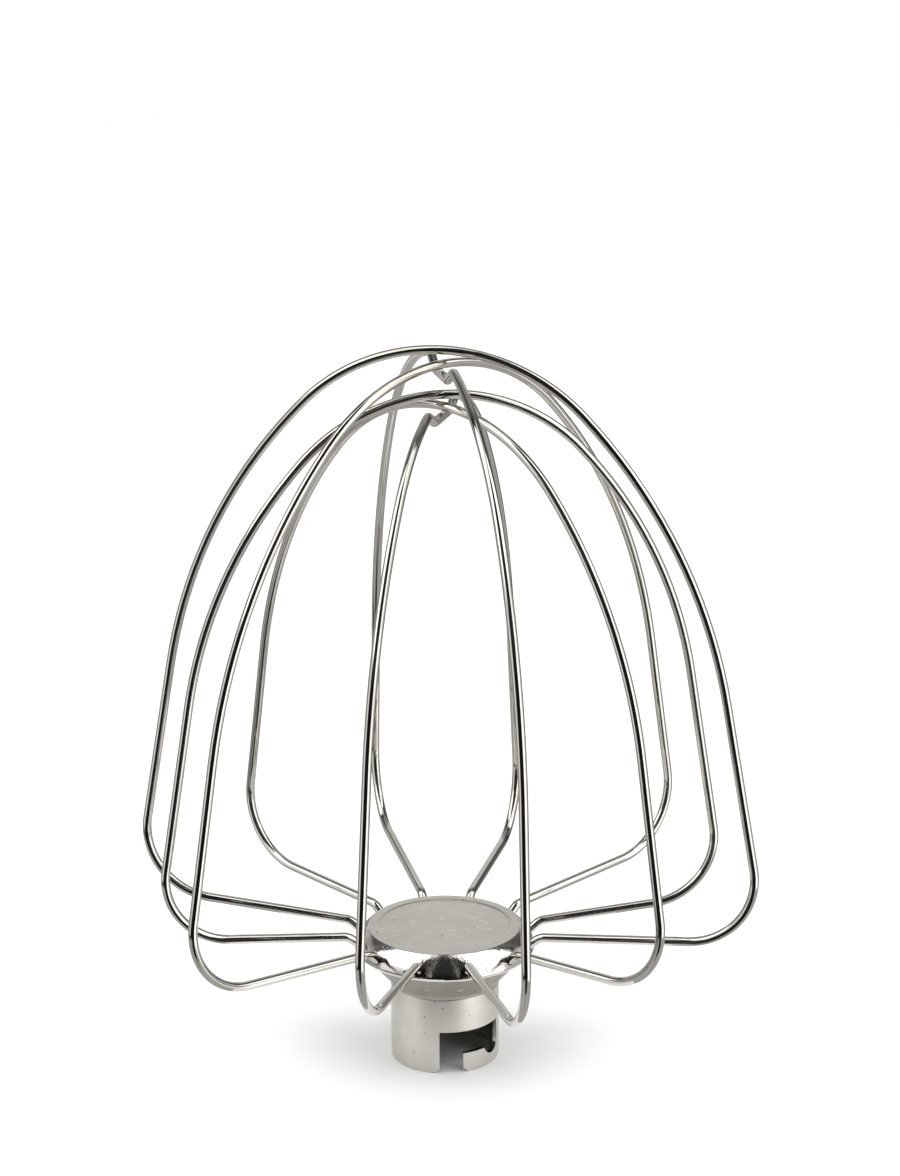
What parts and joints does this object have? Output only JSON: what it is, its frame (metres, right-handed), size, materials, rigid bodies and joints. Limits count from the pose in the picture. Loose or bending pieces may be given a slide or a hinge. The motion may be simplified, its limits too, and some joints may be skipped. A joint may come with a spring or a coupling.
{
  "type": "wire whip",
  "caption": "Balloon-shaped wire whip for a stand mixer: two nested sets of crossing wire loops staked into a round hub, with a thin drive socket and a bayonet slot.",
  "frame": {"origin": "centre of the drive socket's open end, on the plane that the whip stands on", "axes": "+Z along the drive axis from the socket's open end to the crown of the wires; -Y is the side that the bayonet slot opens on"},
  "size_m": [0.136, 0.1349, 0.1617],
  "materials": {
    "wire_steel": "polished drawn stainless wire",
    "polished_steel": "mirror-polished side wall, brushed flat top",
    "satin_steel": "satin",
    "turned_aluminium": "turned"
  },
  "bodies": {
    "root": {"drive_socket": "satin_steel", "flared_collar": "satin_steel", "hub_cap": "polished_steel", "shaft_sleeve": "turned_aluminium", "stop_disc": "satin_steel", "wire_anchor": "turned_aluminium", "tall_loop_1": "wire_steel", "tall_loop_2": "wire_steel", "tall_loop_3": "wire_steel", "short_loop_1": "wire_steel", "short_loop_2": "wire_steel", "short_loop_3": "wire_steel"}
  },
  "joints": []
}
